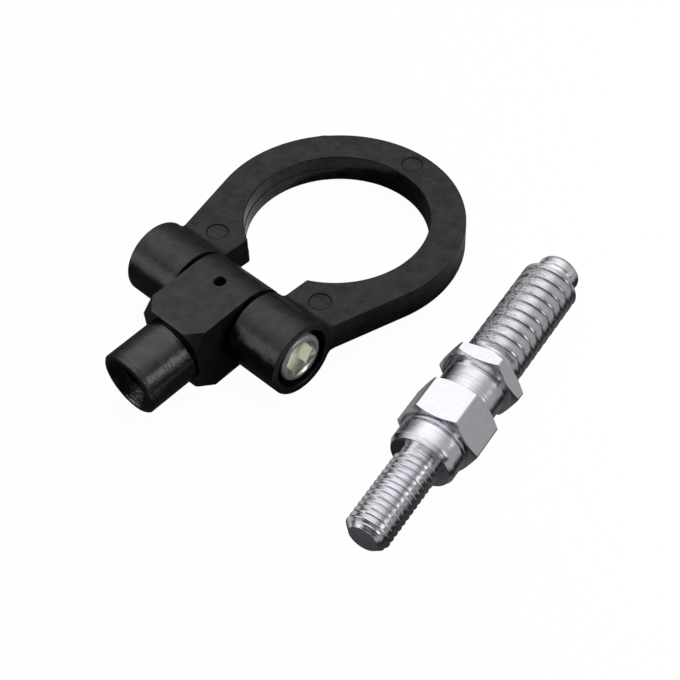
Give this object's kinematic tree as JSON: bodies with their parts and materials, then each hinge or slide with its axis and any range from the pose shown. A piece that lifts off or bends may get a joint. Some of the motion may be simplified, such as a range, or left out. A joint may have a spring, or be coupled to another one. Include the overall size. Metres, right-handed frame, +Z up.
{
  "type": "folding tow hook",
  "caption": "Folding tow hook: a cast ring hinged on a threaded swivel block, with its threaded adapter stud lying beside it.",
  "frame": {"origin": "centre of the socket's mouth, on the socket's axis", "axes": "+Y along the socket towards the ring, +X along the hinge towards the bolt's head, +Z up from the ground the hook lies on"},
  "size_m": [0.118, 0.1121, 0.021],
  "materials": {
    "black_coat": "satin black coating on cast and on turned steel",
    "bright_zinc": "bright plated turned steel"
  },
  "bodies": {
    "block": {"swivel_block": "black_coat", "adapter_stud": "bright_zinc"},
    "ring": {"tow_ring": "black_coat", "pivot_bolt": "bright_zinc"}
  },
  "joints": [
    {"name": "ring_hinge", "type": "hinge", "parent": "block", "child": "ring", "pos_m": [0, 0.035, 0], "axis": [1, 0, 0], "range_deg": [-160.3, 169.6]}
  ]
}
